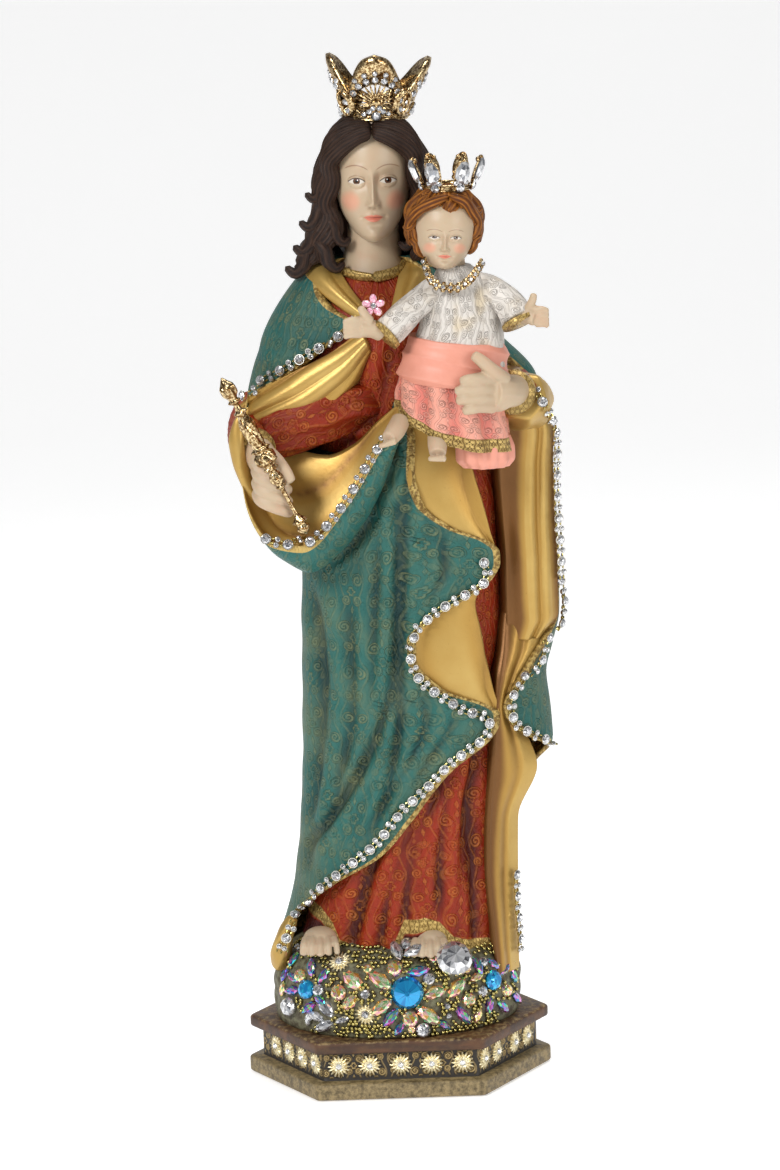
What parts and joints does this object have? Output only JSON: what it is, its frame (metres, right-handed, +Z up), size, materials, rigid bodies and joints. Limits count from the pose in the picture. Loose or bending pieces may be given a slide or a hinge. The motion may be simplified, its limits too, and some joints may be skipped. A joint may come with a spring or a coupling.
{
  "type": "virgin and child statue",
  "caption": "Painted standing statue of a crowned Virgin holding the crowned Child and a sceptre, on a stone-set mound and a hexagonal plinth.",
  "frame": {"origin": "centre of the plinth's underside", "axes": "+Z up, -Y the way the figure faces, +X to the viewer's right"},
  "size_m": [0.1959, 0.1424, 0.602],
  "materials": {
    "painted_casting": "cast resin painted teal, red, antique gold, pink, cream skin and brown hair, satin",
    "plinth_bronze": "cast resin painted walnut brown with rubbed antique gold",
    "gilt_metal": "bright gilt metal, cast, some pieces set with crystals",
    "clear_stone": "clear crystal, some set in silver and gold cups",
    "rose_stone": "rose enamel with crystals",
    "blue_stone": "blue faceted crystal, foiled back",
    "iridescent_stone": "faceted crystal with an iridescent coat"
  },
  "bodies": {
    "root": {"blue_stone_centre": "blue_stone", "blue_stone_left": "blue_stone", "blue_stone_right": "blue_stone", "child_crown": "gilt_metal", "child_necklace": "gilt_metal", "clear_navette_left": "clear_stone", "clear_navette_lower": "clear_stone", "clear_navette_upper": "clear_stone", "clear_navette_upright": "clear_stone", "clear_round_left": "clear_stone", "clear_round_lower": "clear_stone", "clear_round_upper": "clear_stone", "clear_stone_large": "clear_stone", "flap_chain": "clear_stone", "front_chain": "clear_stone", "hand_flower": "rose_stone", "hem_chain": "clear_stone", "iris_navette_1": "iridescent_stone", "iris_navette_2": "iridescent_stone", "iris_navette_3": "iridescent_stone", "iris_navette_4": "iridescent_stone", "iris_navette_5": "iridescent_stone", "iris_navette_6": "iridescent_stone", "iris_navette_7": "iridescent_stone", "iris_round_1": "iridescent_stone", "iris_round_2": "iridescent_stone", "iris_round_3": "iridescent_stone", "plinth": "plinth_bronze", "plinth_sun_01": "gilt_metal", "plinth_sun_02": "gilt_metal", "plinth_sun_03": "gilt_metal", "plinth_sun_04": "gilt_metal", "plinth_sun_05": "gilt_metal", "plinth_sun_06": "gilt_metal", "plinth_sun_07": "gilt_metal", "plinth_sun_08": "gilt_metal", "plinth_sun_09": "gilt_metal", "plinth_sun_10": "gilt_metal", "plinth_sun_11": "gilt_metal", "plinth_sun_12": "gilt_metal", "plinth_sun_13": "gilt_metal", "sceptre": "gilt_metal", "shoulder_chain": "clear_stone", "side_chain": "clear_stone", "sling_chain": "clear_stone", "virgin_and_child": "painted_casting", "virgin_crown": "gilt_metal"}
  },
  "joints": []
}
